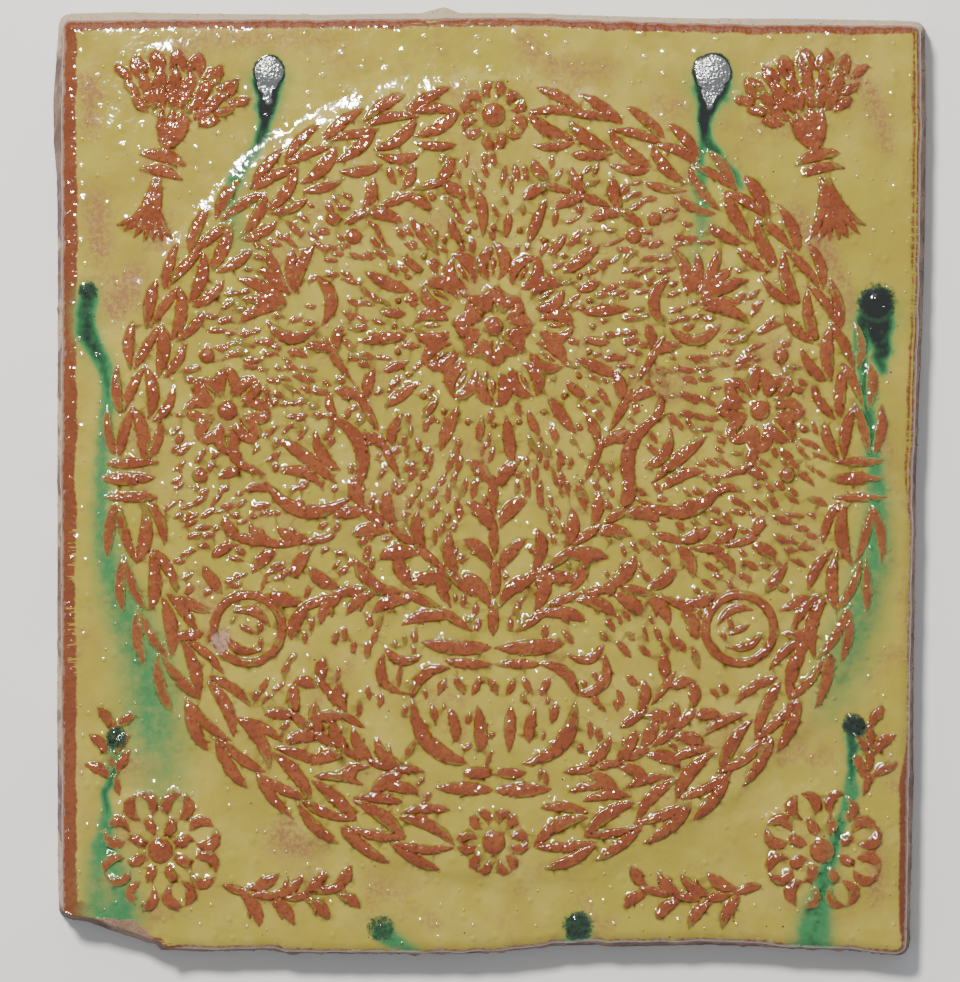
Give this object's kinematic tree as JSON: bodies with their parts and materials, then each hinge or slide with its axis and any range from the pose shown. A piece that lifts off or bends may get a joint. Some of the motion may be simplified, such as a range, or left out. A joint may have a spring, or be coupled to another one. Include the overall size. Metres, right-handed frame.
{
  "type": "relief glazed tile",
  "caption": "Nearly square press-moulded earthenware wall tile with a raised medallion, a laurel wreath and ornament in low relief under lead glaze.",
  "frame": {"origin": "middle of the tile's bounding box, on its flat back", "axes": "+Z out of the decorated face, +Y up the picture, +X to the right of the picture"},
  "size_m": [0.2588, 0.2814, 0.0188],
  "materials": {
    "glazed_earthenware": "glossy yellow lead glaze over pale slip, with red clay showing through on the ridges and copper green runs"
  },
  "bodies": {
    "root": {"tile": "glazed_earthenware"}
  },
  "joints": []
}
